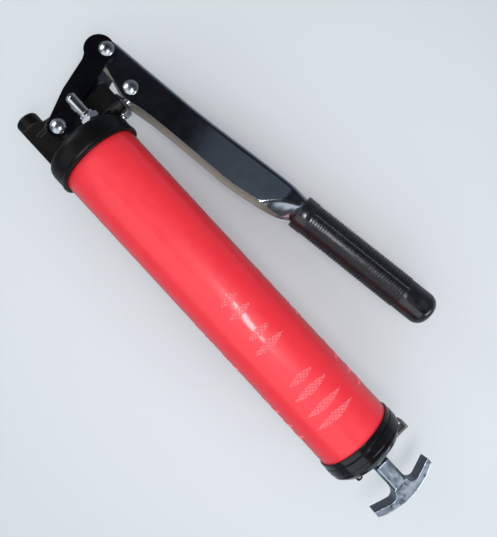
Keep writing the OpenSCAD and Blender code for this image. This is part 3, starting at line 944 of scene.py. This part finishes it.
def make_lever():
    """Pressed channel whose cheeks fold in at the neck. It runs on inside the grip as
    a slit round tang."""
    stations = lever_stations()
    cos_g, sin_g = math.cos(GRIP_ANGLE), math.sin(GRIP_ANGLE)

    def spot(bm, x, y, z):
        gx = GRIP_START[0] + x * cos_g - y * sin_g
        gy = GRIP_START[1] + x * sin_g + y * cos_g
        return bm.verts.new((gx, gy, z))

    bm = bmesh.new()
    outer, inner = [], []
    for x in stations:
        outer.append([spot(bm, x, y, z) for y, z in channel_section(x, 0.0)])
        inner.append([spot(bm, x, y, z) for y, z in channel_section(x, LEVER_WALL)])
    count = len(outer[0])
    for i in range(len(stations) - 1):
        for k in range(count - 1):
            bm.faces.new((outer[i][k], outer[i][k + 1], outer[i + 1][k + 1], outer[i + 1][k]))
            bm.faces.new((inner[i][k], inner[i + 1][k], inner[i + 1][k + 1], inner[i][k + 1]))
        for k in (0, count - 1):
            bm.faces.new((outer[i][k], outer[i + 1][k], inner[i + 1][k], inner[i][k]))
    for i in (0, len(stations) - 1):
        for k in range(count - 1):
            bm.faces.new((outer[i][k], outer[i][k + 1], inner[i][k + 1], inner[i][k]))
    lever = bevel(piece("lever_pressed", bm, "lever", sharp=50), 0.35, 3, 50)
    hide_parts("lever")


RIB_PITCH = 2.1
RIB_COUNT = 39
COLLAR = 10.0
RIB_DEPTH = 0.85
PARTING_AT = math.radians(78)
PARTING_HALF = 0.3
PARTING_SLOPE = 2.0
PANEL_AT = math.radians(95)
PANEL_HALF = 0.5  # half the angle that the panel spans
PANEL_DEPTH = 0.45


def turn_from(place, angle):
    """Turn from one angle to another, from minus to plus half a turn."""
    return (angle - place + math.pi) % (2 * math.pi) - math.pi


def make_grip():
    """Ribbed rubber sleeve with a collar, a mould line and a smooth rounded end."""
    tip_r = GRIP_R - 0.5
    bore = TANG_R + 0.02
    profile = [(0, bore), (0, GRIP_R - 0.9), (0.25, GRIP_R - 0.35), (0.9, GRIP_R)]
    profile += [(COLLAR - 0.4, GRIP_R), (COLLAR - 0.1, GRIP_R - 0.25)]
    rib = ((0, 1), (0.28, 1), (0.38, 0.5), (0.48, 0.12), (0.6, 0), (0.74, 0.1), (0.86, 0.45))
    for i in range(RIB_COUNT):
        for along, drop in rib:
            profile.append((COLLAR + (i + along) * RIB_PITCH, GRIP_R - RIB_DEPTH * drop))
    ribs_end = COLLAR + RIB_COUNT * RIB_PITCH
    profile += [(ribs_end, GRIP_R - RIB_DEPTH), (ribs_end + 0.5, GRIP_R - RIB_DEPTH)]
    profile += [(ribs_end + 0.9, tip_r - 0.1), (ribs_end + 1.4, tip_r)]
    nose, nose_steps = 8.0, 12
    nose_start = GRIP_LENGTH - nose
    profile += [(nose_start - 3 * k, tip_r) for k in (3, 2, 1)]
    for k in range(nose_steps + 1):
        a = math.pi / 2 * k / nose_steps
        profile.append((nose_start + nose * math.sin(a), tip_r - nose + nose * math.cos(a)))
    profile += [(GRIP_LENGTH, 0), (TANG_LENGTH, 0), (TANG_LENGTH, bore)]
    margin = 4
    panel_start, panel_end = ribs_end + margin, GRIP_LENGTH - margin

    def mould(x, a, r):
        """Adds the mould line across the ribs and the flat panel near the tip."""
        if COLLAR < x < ribs_end + 0.6:
            gap = abs(turn_from(PARTING_AT, a)) * GRIP_R
            r = max(r, GRIP_R * 0.998 - max(gap - PARTING_HALF, 0) * PARTING_SLOPE)
        if panel_start < x < panel_end and r > tip_r - 3:
            off = turn_from(PANEL_AT, a)
            along = (2 * x - panel_start - panel_end) / (panel_end - panel_start)
            half_angle = PANEL_HALF * math.sqrt(max(1 - along * along, 0))
            if abs(off) < half_angle:
                flat = (tip_r - PANEL_DEPTH) * math.cos(PANEL_HALF / 2)
                r = min(r, flat / math.cos(off) + 0.1)
        return r

    place = at(*GRIP_START, 0) @ Matrix.Rotation(GRIP_ANGLE, 4, "Z")
    bm = lathe(profile, 180, place, closed=True, shape=mould)
    grip = piece("grip_moulded", bm, "lever_grip", sharp=40)
    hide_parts("lever_grip")


# ---------------------------------------------------------------------- stage


FLOOR_HEIGHT = -40.0  # clear of the grip, which swings below the resting gun
FLOOR_HALF = 3.0  # metres
FLOOR_TINT = (0.56, 0.585, 0.60, 1)
FLOOR_TINT_MIRRORED = (0.30, 0.32, 0.34, 1)


def add_stage():
    """Pale floor. It is darker where the plated parts mirror it."""
    bm = bmesh.new()
    bmesh.ops.create_grid(bm, x_segments=1, y_segments=1, size=FLOOR_HALF)
    mesh = bpy.data.meshes.new("floor")
    bm.to_mesh(mesh)
    bm.free()
    floor = bpy.data.objects.new("floor", mesh)
    floor.location.z = FLOOR_HEIGHT * MM
    bpy.context.scene.collection.objects.link(floor)
    material = bpy.data.materials.new("floor")
    material.use_nodes = True
    surface = material.node_tree.nodes["Principled BSDF"]
    surface.inputs["Roughness"].default_value = 0.8
    surface.inputs["Specular IOR Level"].default_value = 0.2
    new = node_kit(material)
    mirrored = new("ShaderNodeLightPath").outputs["Is Glossy Ray"]
    tint = new(
        "ShaderNodeMix",
        {"Factor": mirrored, "A": FLOOR_TINT, "B": FLOOR_TINT_MIRRORED},
        data_type="RGBA",
    )
    material.node_tree.links.new(tint.outputs["Result"], surface.inputs["Base Color"])
    mesh.materials.append(material)


def add_light(name, place, target, size, power, colour=(1, 1, 1), mirrored=True):
    """Area light. place and target are in the gun's axes, in millimetres. One that
    isn't mirrored lights surfaces without showing in the plated ones."""
    data = bpy.data.lights.new(name, "AREA")
    data.shape = "RECTANGLE"
    data.size, data.size_y = size
    data.energy = power
    data.color = colour
    light = bpy.data.objects.new(name, data)
    bpy.context.scene.collection.objects.link(light)
    start, end = UPRIGHT @ (Vector(place) * MM), UPRIGHT @ (Vector(target) * MM)
    light.location = start
    light.rotation_euler = (end - start).to_track_quat("-Z", "Y").to_euler()
    light.visible_glossy = mirrored


EXPOSURE = -0.2
WORLD_STRENGTH = 0.45


def add_world():
    """Pale room low down, dark ceiling: plated parts that face up read dark."""
    world = bpy.data.worlds.new("world")
    world.use_nodes = True
    world.node_tree.nodes.clear()
    new = node_kit(world)
    direction = new("ShaderNodeTexCoord").outputs["Generated"]
    height = new("ShaderNodeSeparateXYZ", {0: direction}).outputs["Z"]
    ramp = new("ShaderNodeValToRGB", {0: height})
    stops = ramp.color_ramp.elements
    stops[0].position, stops[0].color = 0.0, (0.42, 0.46, 0.52, 1)
    stops[1].position, stops[1].color = 0.9, (0.012, 0.013, 0.018, 1)
    for place, tone in ((0.25, (0.34, 0.38, 0.44, 1)), (0.6, (0.055, 0.062, 0.07, 1))):
        stops.new(place).color = tone
    even = new("ShaderNodeRGB")
    even.outputs[0].default_value = (0.72, 0.78, 0.86, 1)
    mirrored = new("ShaderNodeLightPath").outputs["Is Glossy Ray"]
    colour = new(
        "ShaderNodeMix",
        {"Factor": mirrored, "A": even.outputs[0], "B": ramp.outputs[0]},
        data_type="RGBA",
    )
    shade = new(
        "ShaderNodeBackground", {"Color": colour.outputs["Result"], "Strength": WORLD_STRENGTH}
    )
    new("ShaderNodeOutputWorld", {"Surface": shade.outputs[0]})
    bpy.context.scene.world = world


def add_lights():
    add_world()
    middle_of_gun = (CAMERA_X, 30, 0)
    add_light("ceiling", (120, 0, 900), middle_of_gun, (1.4, 1.2), 5.9, mirrored=False)
    add_light("lamp", (185, -35, 470), middle_of_gun, (0.15, 0.06), 1.1, (0.93, 0.97, 1))
    add_light("window", (230, -560, 420), middle_of_gun, (1.2, 0.7), 3.1, (0.93, 0.97, 1))
    add_light("sheen", (50, 185, 480), middle_of_gun, (0.25, 0.12), 0.012, (0.7, 0.85, 1))
    add_light("head_end", (-420, -120, 300), middle_of_gun, (0.3, 0.3), 1.1)
    add_light("far_end", (760, 120, 330), (280, 0, 0), (0.3, 0.3), 1.6)
    bpy.context.scene.view_settings.view_transform = "Standard"
    bpy.context.scene.view_settings.exposure = EXPOSURE


add_camera()
add_stage()
add_lights()

make_barrel()
make_knurls()
make_end_cap()
make_springs()
make_head()
make_rivets()
make_filler()
make_bleed_valve()
make_gland_nut()
make_lever()
make_grip()
cast("t_handle", 0.35, 8)
for part, edge in (
    ("link", 0.5), ("latch_plate", 0.35), ("follower_rod", 0.4), ("rod_bush", 0.3),
    ("rod_nut", 0.4), ("spring_seat", 0.3), ("follower_washer", 0.4),
    ("follower_seal", 0.5), ("follower_plate", 0.4), ("handle_pin", 0.25),
    ("latch_pin", 0.25), ("plunger_seal", 0.3), ("check_retainer", 0.25),
    ("barrel_gasket", 0.25),
):
    machined(part, edge)
machined("plunger", 0.9, gap=0.2)
for ball in ("check_ball", "filler_ball"):
    own_shape(ball + "_round", ball)
